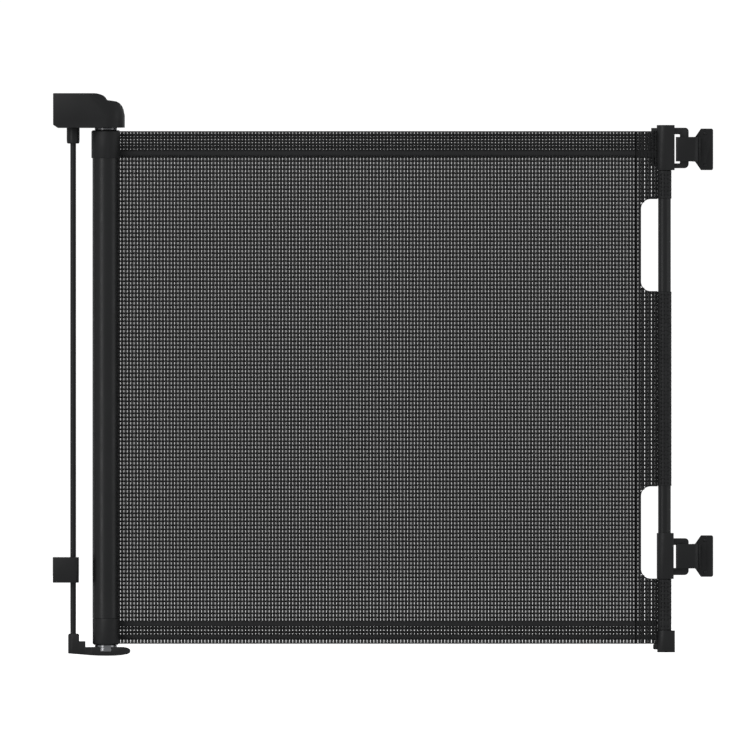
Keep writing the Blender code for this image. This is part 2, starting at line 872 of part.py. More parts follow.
# ---------------------------------------------------------------- wall catches
# A tongue stands in front of the loop's outer limb and its blunt leg goes back through the
# loop. The limb bears on that leg.
limb_left = BAR_X + LOOP_REACH - LOOP_LIMB
tongue_left = BAR_X + BAR_R + 0.0081
tongue_back = MESH_Y - LOOP_HALF - 0.0006
tongue = rounded(
    [
        (0.5190, WALL_Y - 0.0030),
        (0.5152, WALL_Y - 0.0060),
        (0.5138, 0.0025),
        (tongue_left, 0.0025),
        (tongue_left, tongue_back),
        (0.5045, tongue_back),
        (0.5045, WALL_Y - 0.0030),
    ],
    [0, 0.004, 0.0085, 0.0040, 0.0010, 0.0015, 0],
    6,
)
leg = rounded(
    [
        (tongue_left + 0.0004, tongue_back - 0.0020),
        (limb_left - GAP, tongue_back - 0.0020),
        (limb_left - GAP, 0.0220),
        (tongue_left + 0.0004, 0.0220),
    ],
    [0, 0, 0.0020, 0.0020],
    6,
)


def catch(name, middle):
    body = prism(name, tongue, middle - TONGUE_HALF, middle + TONGUE_HALF)
    join(body, prism("leg", leg, middle - LEG_HALF, middle + LEG_HALF))
    outline = rounded(
        [
            (0.5040, middle - TONGUE_HALF),
            (0.5092, middle - TONGUE_HALF),
            (0.5188, middle - CATCH_HALF),
            (RIGHT, middle - CATCH_HALF),
            (RIGHT, middle + CATCH_HALF),
            (0.5188, middle + CATCH_HALF),
            (0.5092, middle + TONGUE_HALF),
            (0.5040, middle + TONGUE_HALF),
        ],
        [0, 0.003, 0.0012, 0.0030, 0.0030, 0.0012, 0.003, 0],
        4,
    )
    join(body, prism("plate", outline, WALL_Y - CATCH_PLATE, WALL_Y, "Y"))
    for side in (-1, 1):
        hole = [
            (
                0.5255 + 0.0020 * math.cos(math.pi * k / 8),
                middle + side * 0.0260 + 0.0020 * math.sin(math.pi * k / 8),
            )
            for k in range(16)
        ]
        cut(body, prism("screw_hole", hole, 0.0, 0.05, "Y"))
    finish(body, BLACK_PLASTIC, (RIGHT, WALL_Y, middle))


def cover(name, middle):
    """A button that snaps into a screw hole of the plate."""
    head = WALL_Y - CATCH_PLATE - GAP
    rings = [
        (0.0, WALL_Y - 0.0010),
        (0.0016, WALL_Y - 0.0010),
        (0.0016, head),
        (0.0027, head),
        (0.0024, head - 0.0007),
        (0.0014, head - 0.0011),
        (0.0, head - 0.0013),
    ]
    obj = turned(name, rings, (0.0, 0.0), 20)
    for vertex in obj.data.vertices:
        x, y, z = vertex.co
        vertex.co = (0.5255 + x, z, middle - y)
    finish(obj, BLACK_PLASTIC, (0.5255, head, middle))


catch("upper_catch", UPPER_CATCH_Z)
catch("lower_catch", LOWER_CATCH_Z)
cover("upper_catch_cover_high", UPPER_CATCH_Z + 0.0260)
cover("upper_catch_cover_low", UPPER_CATCH_Z - 0.0260)
cover("lower_catch_cover_high", LOWER_CATCH_Z + 0.0260)
cover("lower_catch_cover_low", LOWER_CATCH_Z - 0.0260)
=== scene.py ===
"""A retractable mesh pet gate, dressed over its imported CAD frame, in metres, front towards -Y."""

import math

import bmesh
import bpy
import numpy as np
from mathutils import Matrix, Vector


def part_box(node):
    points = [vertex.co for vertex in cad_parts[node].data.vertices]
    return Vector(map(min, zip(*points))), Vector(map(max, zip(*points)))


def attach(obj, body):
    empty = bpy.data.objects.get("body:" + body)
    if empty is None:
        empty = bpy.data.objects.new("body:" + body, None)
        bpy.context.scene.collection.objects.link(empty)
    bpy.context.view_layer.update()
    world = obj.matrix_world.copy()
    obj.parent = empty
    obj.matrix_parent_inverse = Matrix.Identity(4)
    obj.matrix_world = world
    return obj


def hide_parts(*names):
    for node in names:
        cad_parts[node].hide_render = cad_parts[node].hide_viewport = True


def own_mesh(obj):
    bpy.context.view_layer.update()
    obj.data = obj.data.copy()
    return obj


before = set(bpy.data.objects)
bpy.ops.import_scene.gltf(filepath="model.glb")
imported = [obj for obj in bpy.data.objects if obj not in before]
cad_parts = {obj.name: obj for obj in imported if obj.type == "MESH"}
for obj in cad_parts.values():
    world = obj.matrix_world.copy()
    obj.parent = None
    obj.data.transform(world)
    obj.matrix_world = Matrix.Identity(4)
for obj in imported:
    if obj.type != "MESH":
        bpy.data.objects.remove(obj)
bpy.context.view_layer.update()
scene = bpy.context.scene

# ------------------------------------------------------------------ camera, light and floor
# The gate is looked at straight from the front through a long lens, level with its middle,
# on a white floor in a white room, with one large soft light high on the left.
scene.view_settings.view_transform = "Standard"

VIEW_X = -0.0133
VIEW_Z = 0.4577
VIEW_WIDTH = 1.2238
VIEW_AWAY = 30.0

lens = bpy.data.cameras.new("eye")
lens.sensor_width = 36.0
lens.lens = 36.0 * (VIEW_AWAY + 0.0126) / VIEW_WIDTH
lens.clip_start = 0.05
lens.clip_end = 90.0
camera = bpy.data.objects.new("eye", lens)
camera.location = (VIEW_X, -VIEW_AWAY, VIEW_Z)
camera.rotation_euler = (math.radians(90.0), 0.0, 0.0)
scene.collection.objects.link(camera)
scene.camera = camera


def soft_light(name, place, aim, size, power):
    """A square area light at place, turned so that it shines at aim."""
    data = bpy.data.lights.new(name, "AREA")
    data.shape = "RECTANGLE"
    data.size, data.size_y = size
    data.energy = power
    light = bpy.data.objects.new(name, data)
    way = np.subtract(aim, place)
    flat = math.hypot(way[0], way[1])
    light.rotation_euler = (math.pi / 2 + math.atan2(way[2], flat), 0.0, math.atan2(-way[0], way[1]))
    light.location = place
    scene.collection.objects.link(light)
    return light


soft_light("key_light", (-2.4, -2.6, 2.9), (0.0, 0.0, 0.5), (1.6, 1.6), 28.0)
soft_light("strip_light", (-2.6, -3.0, 0.46), (-0.45, 0.0, 0.46), (1.1, 2.6), 18.0)
soft_light("fill_light", (3.2, -1.2, 0.9), (0.0, 0.0, 0.4), (1.6, 2.2), 8.0)
soft_light("back_light", (0.6, 3.2, 2.4), (0.0, 0.0, 0.4), (2.4, 1.6), 40.0)

room = bpy.data.worlds.new("room")
room.use_nodes = True
scene.world = room
tree = room.node_tree
tree.nodes.clear()
seen = tree.nodes.new("ShaderNodeBackground")
seen.inputs["Color"].default_value = (1.0, 1.0, 1.0, 1.0)
seen.inputs["Strength"].default_value = 1.05
felt = tree.nodes.new("ShaderNodeBackground")
felt.inputs["Color"].default_value = (0.96, 0.98, 1.0, 1.0)
felt.inputs["Strength"].default_value = 0.41
ray = tree.nodes.new("ShaderNodeLightPath")
choice = tree.nodes.new("ShaderNodeMixShader")
out = tree.nodes.new("ShaderNodeOutputWorld")
tree.links.new(ray.outputs["Is Camera Ray"], choice.inputs["Fac"])
tree.links.new(felt.outputs[0], choice.inputs[1])
tree.links.new(seen.outputs[0], choice.inputs[2])
tree.links.new(choice.outputs[0], out.inputs["Surface"])

FLOOR_HALF = 12.0
FLOOR_Z = -0.0004
floor_mesh = bpy.data.meshes.new("floor")
floor_mesh.from_pydata(
    [
        (-FLOOR_HALF, -FLOOR_HALF, FLOOR_Z),
        (FLOOR_HALF, -FLOOR_HALF, FLOOR_Z),
        (FLOOR_HALF, FLOOR_HALF, FLOOR_Z),
        (-FLOOR_HALF, FLOOR_HALF, FLOOR_Z),
    ],
    [],
    [(0, 1, 2, 3)],
)
floor = bpy.data.objects.new("floor", floor_mesh)
scene.collection.objects.link(floor)
floor_look = bpy.data.materials.new("white_floor")
floor_look.use_nodes = True
floor_shader = floor_look.node_tree.nodes["Principled BSDF"]
floor_shader.inputs["Base Color"].default_value = (0.85, 0.85, 0.84, 1.0)
floor_shader.inputs["Roughness"].default_value = 0.9
floor_shader.inputs["Specular IOR Level"].default_value = 0.0
floor_shader.inputs["Emission Color"].default_value = (1.0, 1.0, 1.0, 1.0)
floor_shader.inputs["Emission Strength"].default_value = 0.85
floor_mesh.materials.append(floor_look)
floor.visible_glossy = False
floor.visible_diffuse = False

# ------------------------------------------------------------------ top bracket
# One black moulding: a square arm against the wall, and a round end that holds the roller's lock.
# It is injection moulded in fine-grained nylon, and screwed to the wall through a steel plate.


def joined_grid(name, points, across=True, ends=True, along=False):
    """A mesh whose vertex (i, j) is points[i, j], with a four-sided face between each
    (i, j), (i+1, j), (i+1, j+1), (i, j+1). across joins the last j to the first, along joins
    the last i to the first, and ends closes the first and last row with one face each."""
    points = np.asarray(points, float)
    rows, steps = points.shape[:2]
    i = np.arange(rows if along else rows - 1)[:, None]
    j = np.arange(steps if across else steps - 1)[None, :]
    up, right = (i + 1) % rows, (j + 1) % steps
    quads = np.stack([i * steps + j, i * steps + right, up * steps + right, up * steps + j], -1)
    corners = [quads.reshape(-1)]
    counts = [np.full(quads.size // 4, 4)]
    if ends and not along:
        corners += [np.arange(steps)[::-1], (rows - 1) * steps + np.arange(steps)]
        counts += [np.array([steps]), np.array([steps])]
    corners, counts = np.concatenate(corners), np.concatenate(counts)
    mesh = bpy.data.meshes.new(name)
    mesh.vertices.add(rows * steps)
    mesh.vertices.foreach_set("co", points.reshape(-1))
    mesh.loops.add(len(corners))
    mesh.loops.foreach_set("vertex_index", corners.astype(np.int32))
    mesh.polygons.add(len(counts))
    mesh.polygons.foreach_set("loop_start", np.concatenate([[0], np.cumsum(counts)[:-1]]).astype(np.int32))
    mesh.update(calc_edges=True)
    mesh.validate()
    mesh.shade_smooth()
    mesh.set_sharp_from_angle(angle=math.radians(38.0))
    piece = bpy.data.objects.new(name, mesh)
    scene.collection.objects.link(piece)
    return piece


def softened(name, node, edge, steps=2, from_angle=34.0):
    """The CAD solid's own surface, its doubled corners merged and its flat faces made whole,
    with every edge that turns by more than from_angle rounded to the radius edge."""
    shape = bmesh.new()
    shape.from_mesh(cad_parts[node].data)
    bmesh.ops.remove_doubles(shape, verts=shape.verts, dist=2e-6)
    bmesh.ops.dissolve_limit(shape, angle_limit=math.radians(0.4), verts=shape.verts, edges=shape.edges)
    mesh = bpy.data.meshes.new(name)
    shape.to_mesh(mesh)
    shape.free()
    mesh.shade_smooth()
    piece = bpy.data.objects.new(name, mesh)
    scene.collection.objects.link(piece)
    rounding = piece.modifiers.new("edge", "BEVEL")
    rounding.width = edge
    rounding.segments = steps
    rounding.limit_method = "ANGLE"
    rounding.angle_limit = math.radians(from_angle)
    rounding.use_clamp_overlap = True
    rounding.harden_normals = True
    return piece


def link(look, source, target):
    look.node_tree.links.new(source, target)


def noise(look, place, scale, detail=2.0):
    """Cloudy noise in object space, with blobs about 1 / scale metres across."""
    made = look.node_tree.nodes.new("ShaderNodeTexNoise")
    made.inputs["Scale"].default_value = scale
    made.inputs["Detail"].default_value = detail
    link(look, place, made.inputs["Vector"])
    return made.outputs["Fac"]


def spread_between(look, value, low, high, start=0.3, end=0.7):
    """A number that runs from low to high as value runs from start to end."""
    made = look.node_tree.nodes.new("ShaderNodeMapRange")
    made.inputs["From Min"].default_value = start
    made.inputs["From Max"].default_value = end
    made.inputs["To Min"].default_value = low
    made.inputs["To Max"].default_value = high
    link(look, value, made.inputs["Value"])
    return made.outputs["Result"]


def colour_between(look, value, low, high, start=0.3, end=0.7):
    """A colour that runs from low to high as value runs from start to end."""
    made = look.node_tree.nodes.new("ShaderNodeValToRGB")
    made.color_ramp.elements[0].position = start
    made.color_ramp.elements[0].color = (*low, 1.0)
    made.color_ramp.elements[1].position = end
    made.color_ramp.elements[1].color = (*high, 1.0)
    link(look, value, made.inputs["Fac"])
    return made.outputs["Color"]


def grey(value):
    """A grey that leans a touch towards blue."""
    return (value, value, value * 1.025)


def raised(look, height, depth, strength=1.0, under=None):
    """A bump of the given depth in metres, laid on an earlier bump where there is one."""
    made = look.node_tree.nodes.new("ShaderNodeBump")
    made.inputs["Strength"].default_value = strength
    made.inputs["Distance"].default_value = depth
    link(look, height, made.inputs["Height"])
    if under is not None:
        link(look, under, made.inputs["Normal"])
    return made.outputs["Normal"]


def new_look(name, metallic=0.0):
    """(material, its Principled shader, object coordinates)."""
    look = bpy.data.materials.new(name)
    look.use_nodes = True
    shader = look.node_tree.nodes["Principled BSDF"]
    shader.inputs["Metallic"].default_value = metallic
    place = look.node_tree.nodes.new("ShaderNodeTexCoord").outputs["Object"]
    return look, shader, place


def moulded_black(name, tone=0.0105, gloss=0.5, grain=1100.0):
    """Black moulded plastic: a fine spark-eroded grain, faint cloudy tone from the flow of the
    melt, roughness that wanders a little, and corners rubbed a shade lighter."""
    look, shader, place = new_look(name)
    cloud = noise(look, place, 22.0, 3.0)
    base = colour_between(look, cloud, grey(tone * 0.88), grey(tone * 1.15))
    rubbed = look.node_tree.nodes.new("ShaderNodeMix")
    rubbed.data_type = "RGBA"
    rubbed.inputs[7].default_value = (*grey(tone * 2.1), 1.0)
    shape = look.node_tree.nodes.new("ShaderNodeNewGeometry")
    corner = spread_between(look, shape.outputs["Pointiness"], 0.0, 0.55, 0.53, 0.66)
    link(look, corner, rubbed.inputs[0])
    link(look, base, rubbed.inputs[6])
    link(look, rubbed.outputs[2], shader.inputs["Base Color"])
    patch = noise(look, place, 75.0, 4.0)
    link(look, spread_between(look, patch, gloss - 0.05, gloss + 0.07), shader.inputs["Roughness"])
    fine = noise(look, place, grain, 2.0)
    link(look, raised(look, fine, 0.00004, 0.55), shader.inputs["Normal"])
    shader.inputs["Specular IOR Level"].default_value = 0.42
    return look


bracket_look = moulded_black("bracket_nylon", 0.0108, 0.46, 1100.0)
bracket = softened("bracket_shell", "top_bracket", 0.0007, 3)
bracket.data.materials.append(bracket_look)
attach(bracket, "wall_frame")
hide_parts("top_bracket")

# ------------------------------------------------------------------ wall plates
# Two 3 mm steel plates, zinc plated, let into the backs of the bracket and of the lower block.
# Each has two countersunk fixing holes; the plating shows a faint spangle and handling marks.


def zinc_plate(name):
    """Zinc on steel: flat crystals a few millimetres across, each a shade apart, and fine
    scratches that roughen it along one way."""
    look, shader, place = new_look(name, 1.0)
    crystal = look.node_tree.nodes.new("ShaderNodeTexVoronoi")
    crystal.inputs["Scale"].default_value = 260.0
    link(look, place, crystal.inputs["Vector"])
    shade = look.node_tree.nodes.new("ShaderNodeSeparateColor")
    link(look, crystal.outputs["Color"], shade.inputs["Color"])
    tone = colour_between(look, shade.outputs["Red"], (0.36, 0.37, 0.38), (0.50, 0.51, 0.52), 0.0, 1.0)
    link(look, tone, shader.inputs["Base Color"])
    gloss = spread_between(look, shade.outputs["Green"], 0.34, 0.5, 0.0, 1.0)
    link(look, gloss, shader.inputs["Roughness"])
    link(look, raised(look, noise(look, place, 1800.0, 3.0), 0.00002, 0.5), shader.inputs["Normal"])
    return look


plate_look = zinc_plate("zinc_plating")
for node in ("top_wall_plate", "lower_wall_plate"):
    plate = softened(node + "_rounded", node, 0.0004, 2)
    plate.data.materials.append(plate_look)
    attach(plate, "wall_frame")
    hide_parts(node)

# ------------------------------------------------------------------ lock
# A dial in the round end turns a quarter turn to bring a pawl onto the ratchet, and a sprung
# button in its middle has to be pressed first. Dial and button are moulded, the rest is steel.


def eased(corners, reach, steps=4, closed=True):
    """An outline with each corner C replaced by the curve (1-t)^2 A + 2t(1-t) C + t^2 B, where
    A and B lie at the distance reach from C towards the corners before and after it."""
    corners = np.asarray(corners, float)
    before, after = np.roll(corners, 1, 0) - corners, np.roll(corners, -1, 0) - corners
    far_before = np.linalg.norm(before, axis=1, keepdims=True)
    far_after = np.linalg.norm(after, axis=1, keepdims=True)
    reach = np.broadcast_to(np.asarray(reach, float).reshape(-1, 1), (len(corners), 1))
    start = corners + before / far_before * np.minimum(reach, far_before * 0.45)
    end = corners + after / far_after * np.minimum(reach, far_after * 0.45)
    t = np.linspace(0.0, 1.0, steps)[None, :, None]
    curve = (1 - t) ** 2 * start[:, None] + 2 * t * (1 - t) * corners[:, None] + t**2 * end[:, None]
    if closed:
        return curve.reshape(-1, 2)
    return np.concatenate([corners[:1], curve[1:-1].reshape(-1, 2), corners[-1:]])


def turned(name, outline, centre, steps=96, hollow=False):
    """An outline of (radius r, height z) turned about an upright axis: the point at angle a is
    (cx + r cos a, cy + r sin a, z). A hollow piece has a closed outline, and a solid one has its
    two flat ends closed."""
    outline = np.asarray(outline, float)
    a = np.linspace(0.0, 2 * np.pi, steps, endpoint=False)[None, :]
    r, z = outline[:, :1], outline[:, 1:]
    points = np.stack([centre[0] + r * np.cos(a), centre[1] + r * np.sin(a), z + 0 * a], -1)
    return joined_grid(name, points, across=True, ends=not hollow, along=hollow)


def plain_steel(name, gloss=0.3, scratch=420.0):
    """Turned steel: fine lines round the piece, at slightly different heights and gloss."""
    look, shader, place = new_look(name, 1.0)
    stretch = look.node_tree.nodes.new("ShaderNodeMapping")
    stretch.inputs["Scale"].default_value = (0.15, 0.15, 9.0)
    link(look, place, stretch.inputs["Vector"])
    lines = noise(look, stretch.outputs["Vector"], scratch, 4.0)
    tone = colour_between(look, lines, (0.44, 0.45, 0.46), (0.60, 0.61, 0.62))
    link(look, tone, shader.inputs["Base Color"])
    link(look, spread_between(look, lines, gloss - 0.06, gloss + 0.1), shader.inputs["Roughness"])
    link(look, raised(look, lines, 0.00002, 0.6), shader.inputs["Normal"])
    return look


def dress(node, look):
    """Gives a CAD node that keeps its own shape a finished material."""
    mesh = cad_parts[node].data
    mesh.materials.clear()
    mesh.materials.append(look)


def take_over(piece, body, look, *nodes):
    """Finishes a new piece: its material, the body it moves with, and the nodes it stands for."""
    piece.data.materials.append(look)
    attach(piece, body)
    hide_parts(*nodes)
    return piece


AXIS_X = -0.4523
AXIS = (AXIS_X, 0.0)
dial_look = moulded_black("dial_nylon", 0.0125, 0.40, 1300.0)
dial = softened("lock_dial_grip", "lock_dial", 0.0003, 2, 40.0)
take_over(dial, "dial", dial_look, "lock_dial")

button_outline = [
    (0.0026, 0.8850),
    (0.0026, 0.8990),
    (0.0080, 0.8990),
    (0.0080, 0.9050),
    (0.0062, 0.9060),
    (0.0006, 0.9062),
]
button_reach = [0, 0.0003, 0.0003, 0.0009, 0.0012, 0]
button = turned("release_button_cap", eased(button_outline, button_reach, 5, False), AXIS)
button_look = moulded_black("button_nylon", 0.0150, 0.34, 1500.0)
take_over(button, "button", button_look, "release_button")

steel_look = plain_steel("plain_steel")
for node in ("pawl", "pawl_pin", "ratchet_wheel", "button_spring", "torsion_spring", "spring_mandrel"):
    dress(node, steel_look)
dress("dial_cam_ring", plate_look)
dress("roller_tube", plate_look)
for node in ("lock_floor", "roller_plug_top", "roller_plug_bottom"):
    dress(node, moulded_black(node + "_nylon", 0.0120, 0.5, 1200.0))

# ------------------------------------------------------------------ tie rod, its collar and block
# An 8 mm steel rod, powder coated black, ties the bracket to the foot. A turned collar takes it
# up at the top, and a small moulded block low down holds it to the wall.

ROD = (-0.5056, 0.0)
ROD_R = 0.0047
ROD_COLLAR_R = 0.0106


def coated_metal(name, tone=0.0100, gloss=0.33, skin=420.0):
    """Black powder coat on metal: an even skin with a low orange peel, whose gloss drifts."""
    look, shader, place = new_look(name)
    cloud = noise(look, place, 16.0, 3.0)
    base = colour_between(look, cloud, grey(tone * 0.9), grey(tone * 1.12))
    link(look, base, shader.inputs["Base Color"])
    drift = spread_between(look, noise(look, place, 60.0, 3.0), gloss - 0.04, gloss + 0.05)
    link(look, drift, shader.inputs["Roughness"])
    peel = raised(look, noise(look, place, skin, 2.0), 0.00005, 0.35)
    specks = noise(look, place, skin * 6.0, 1.0)
    link(look, raised(look, specks, 0.00001, 0.5, peel), shader.inputs["Normal"])
    shader.inputs["Specular IOR Level"].default_value = 0.45
    return look


rod_look = coated_metal("rod_coat", 0.0085, 0.52, 500.0)
rod_outline = [(ROD_R - 0.0006, 0.0160), (ROD_R, 0.0166), (ROD_R, 0.8834), (ROD_R - 0.0006, 0.8840)]
take_over(turned("tie_rod_bar", rod_outline, ROD, 48), "wall_frame", rod_look, "tie_rod")

low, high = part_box("rod_collar")
collar_outline = [
    (ROD_R + 0.0003, low.z),
    (ROD_COLLAR_R - 0.0014, low.z),
    (ROD_COLLAR_R - 0.0004, low.z + 0.0014),
    (ROD_COLLAR_R, low.z + 0.0060),
    (ROD_COLLAR_R, high.z),
    (ROD_R + 0.0003, high.z),
]
collar_reach = [0.0003, 0.0006, 0.0008, 0.002, 0.0002, 0.0002]
rod_collar = turned("rod_collar_turned", eased(collar_outline, collar_reach), ROD, 72, True)
collar_look = moulded_black("collar_nylon", 0.0105, 0.44, 1100.0)
take_over(rod_collar, "wall_frame", collar_look, "rod_collar")

block = softened("lower_wall_block_shell", "lower_wall_block", 0.0008, 3)
take_over(block, "wall_frame", bracket_look, "lower_wall_block")

# ------------------------------------------------------------------ foot
# A moulded shoe under the housing, 100 mm long, thin where it spreads over the floor and
# deeper at the rod's socket. The same black nylon, scuffed a little where shoes reach it.

foot = softened("foot_shell", "foot", 0.0006, 2, 38.0)
take_over(foot, "wall_frame", moulded_black("foot_nylon", 0.0115, 0.5, 900.0), "foot")

# ------------------------------------------------------------------ neck rings
# Two turned bushes, one above the housing and one below, that the housing is clamped between.
# They are plated dark and polished, so they catch the light in two bands round a shallow groove.


def groove_ring(name, node, radius, bore):
    """A ring whose outside is two rounded beads: r = radius - depth * (1 - |sin|) over height."""
    low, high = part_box(node)
    v = np.linspace(0.0, 1.0, 25)
    bead = radius - 0.0004 * (1.0 - np.abs(np.sin(2 * np.pi * v)) ** 0.6)
    z = low.z + (high.z - low.z) * v
    outside = np.stack([bead, z], 1)
    inside = np.array([[bore, high.z], [bore, low.z]])
    ring = turned(name, np.concatenate([outside, inside]), AXIS, 128, True)
    return take_over(ring, "wall_frame", ring_look, node)


ring_look, ring_shader, ring_place = new_look("dark_plating", 1.0)
smear = noise(ring_look, ring_place, 160.0, 3.0)
ring_tone = colour_between(ring_look, smear, grey(0.26), grey(0.33))
link(ring_look, ring_tone, ring_shader.inputs["Base Color"])
link(ring_look, spread_between(ring_look, smear, 0.15, 0.22), ring_shader.inputs["Roughness"])
polish = noise(ring_look, ring_place, 2200.0)
link(ring_look, raised(ring_look, polish, 0.000006, 0.4), ring_shader.inputs["Normal"])
groove_ring("neck_ring_top_turned", "neck_ring_top", 0.0183, 0.0073)
groove_ring("neck_ring_bottom_turned", "neck_ring_bottom", 0.0181, 0.0056)

# ------------------------------------------------------------------ roller housing
# A 44 mm aluminium tube, painted satin black, with one slot down its side for the mesh. A
# moulded collar is pushed over its top and a moulded cap into its foot.

SLOT_Y = 0.0126
SLOT_HALF = 0.0024
TUBE_R = 0.0218
TUBE_WALL = 0.0016


def slotted_plan(outer, inner, steps=112):
    """The plan of a slotted wall: an arc of radius outer from the slot's one lip round to the
    other, and back on the radius inner. The lip at height y stands at the angle asin(y / r)."""
    lips = np.array([SLOT_Y + SLOT_HALF, SLOT_Y - SLOT_HALF])
    first, last = np.arcsin(lips / outer)
    out_a = np.linspace(first, last + 2 * np.pi, steps)
    first, last = np.arcsin(lips / inner)
    in_a = np.linspace(last + 2 * np.pi, first, steps)
    ring = np.stack([np.cos(out_a), np.sin(out_a)], 1) * outer
    back = np.stack([np.cos(in_a), np.sin(in_a)], 1) * inner
    return np.concatenate([ring, back])


def raised_plan(name, plans, heights):
    """Plans stacked at heights and joined: point (i, j) is plan i's corner j at height i."""
    points = np.stack([np.column_stack([plan, np.full(len(plan), z)]) for plan, z in zip(plans, heights)])
    points[..., :2] += np.array(AXIS)
    return joined_grid(name, points)


low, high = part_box("housing_tube")
edge = 0.0002
thin = slotted_plan(TUBE_R - edge, TUBE_R - TUBE_WALL + edge)
full = slotted_plan(TUBE_R, TUBE_R - TUBE_WALL)
levels = [low.z, low.z + edge, high.z - edge, high.z]
tube = raised_plan("housing_tube_wall", [thin, full, full, thin], levels)
tube_look = coated_metal("housing_paint", 0.0110, 0.36, 380.0)
take_over(tube, "wall_frame", tube_look, "housing_tube")

collar_look = moulded_black("housing_nylon", 0.0108, 0.5, 1000.0)
collar = softened("top_collar_shell", "top_collar", 0.0005, 2, 36.0)
take_over(collar, "wall_frame", collar_look, "top_collar")
cap = softened("bottom_end_cap_shell", "bottom_end_cap", 0.0005, 2, 36.0)
take_over(cap, "wall_frame", collar_look, "bottom_end_cap")

# ------------------------------------------------------------------ mesh
# The barrier is one cloth of coated polyester strands, 840 mm tall, plain woven: each strand
# passes over one crossing strand and under the next, and leaves small rounded holes.

MESH_TOP = 0.8556
MESH_BOTTOM = 0.0190
SLOT_LEFT = -0.4440
SEAM_X = 0.4118
STRAND_HALF = 0.00040
HOLE_W = 0.00060
HOLE_H = 0.00380
PITCH_X = 0.00551
PITCH_Z = 0.00653


def strands(
    name, centre, width, start, end, cross, first, along_z, wide=1.07, y_at=SLOT_Y, thick=STRAND_HALF
):
    """Flat strands side by side. Strand k runs at centre[k] from start[k] to end[k], with the
    cross strands at cross[j], and counts as number k + first. Its middle line swings by
    thick * (-1)^(k + first + j) to the front or back of crossing j, lengthwise and crosswise
    strands to opposite sides. Its section is a flat six-sided tube width[k] across, a little
    wider over a crossing than beside a hole. UV: u round it and v along it, in metres."""
    sign = 1.0 if along_z else -1.0
    around = np.array([[-0.5, 0.0], [-0.27, 1.0], [0.27, 1.0], [0.5, 0.0], [0.27, -1.0], [-0.27, -1.0]])
    if along_z:
        around = around[::-1]
    middles = (cross[1:] + cross[:-1]) / 2
    stations = np.empty(len(cross) * 2 - 1)
    stations[0::2] = cross
    stations[1::2] = middles
    side = np.zeros(len(stations))
    side[0::2] = 1.0 - 2.0 * (np.arange(len(cross)) % 2)
    swell = np.ones(len(stations))
    swell[0::2] = wide
    verts, faces, uvs, base = [], [], [], 0
    girth = 0.0095
    for k in range(len(centre)):
        keep = (stations > start[k] + 0.0004) & (stations < end[k] - 0.0004)
        s = np.concatenate([[start[k]], stations[keep], [end[k]]])
        y = np.concatenate([[0.0], side[keep], [0.0]]) * (thick * sign * (1.0 - 2.0 * ((k + first) % 2)))
        w = np.concatenate([[1.0], swell[keep], [1.0]]) * width[k]
        across = centre[k] + w[:, None] * around[None, :, 0]
        depth = y_at + y[:, None] + thick * around[None, :, 1]
        length = np.broadcast_to(s[:, None], across.shape)
        order = [across, depth, length] if along_z else [length, depth, across]
        verts.append(np.stack(order, -1).reshape(-1, 3))
        n = len(s)
        i = np.arange(n - 1)[:, None] * 6
        j = np.arange(6)[None, :]
        quad = np.stack([i + j, i + (j + 1) % 6, i + 6 + (j + 1) % 6, i + 6 + j], -1).reshape(-1, 4)
        faces.append(quad + base)
        edge_u = np.arange(7) / 6.0 * girth
        u0, u1, a, b = np.broadcast_arrays(edge_u[:-1], edge_u[1:], s[:-1, None], s[1:, None])
        corners = [np.stack(pair, -1) for pair in ((u0, a), (u1, a), (u1, b), (u0, b))]
        uvs.append(np.stack(corners, 2).reshape(-1, 2))
        lids = np.array([[0, 5, 4, 3], [0, 3, 2, 1]]) + base
        tips = np.array([[0, 1, 2, 3], [0, 3, 4, 5]]) + base + (n - 1) * 6
        faces += [lids, tips]
        uvs.append(np.zeros((16, 2)))
        base += n * 6
    verts, faces, uvs = np.concatenate(verts), np.concatenate(faces), np.concatenate(uvs)
    mesh = bpy.data.meshes.new(name)
    mesh.vertices.add(len(verts))
    mesh.vertices.foreach_set("co", verts.reshape(-1))
    mesh.loops.add(faces.size)
    mesh.loops.foreach_set("vertex_index", faces.reshape(-1).astype(np.int32))
    mesh.polygons.add(len(faces))
    mesh.polygons.foreach_set("loop_start", (np.arange(len(faces)) * 4).astype(np.int32))
    mesh.update(calc_edges=True)
    mesh.uv_layers.new(name="strand").data.foreach_set("uv", uvs.reshape(-1))
    mesh.shade_smooth()
    piece = bpy.data.objects.new(name, mesh)
    scene.collection.objects.link(piece)
    return piece


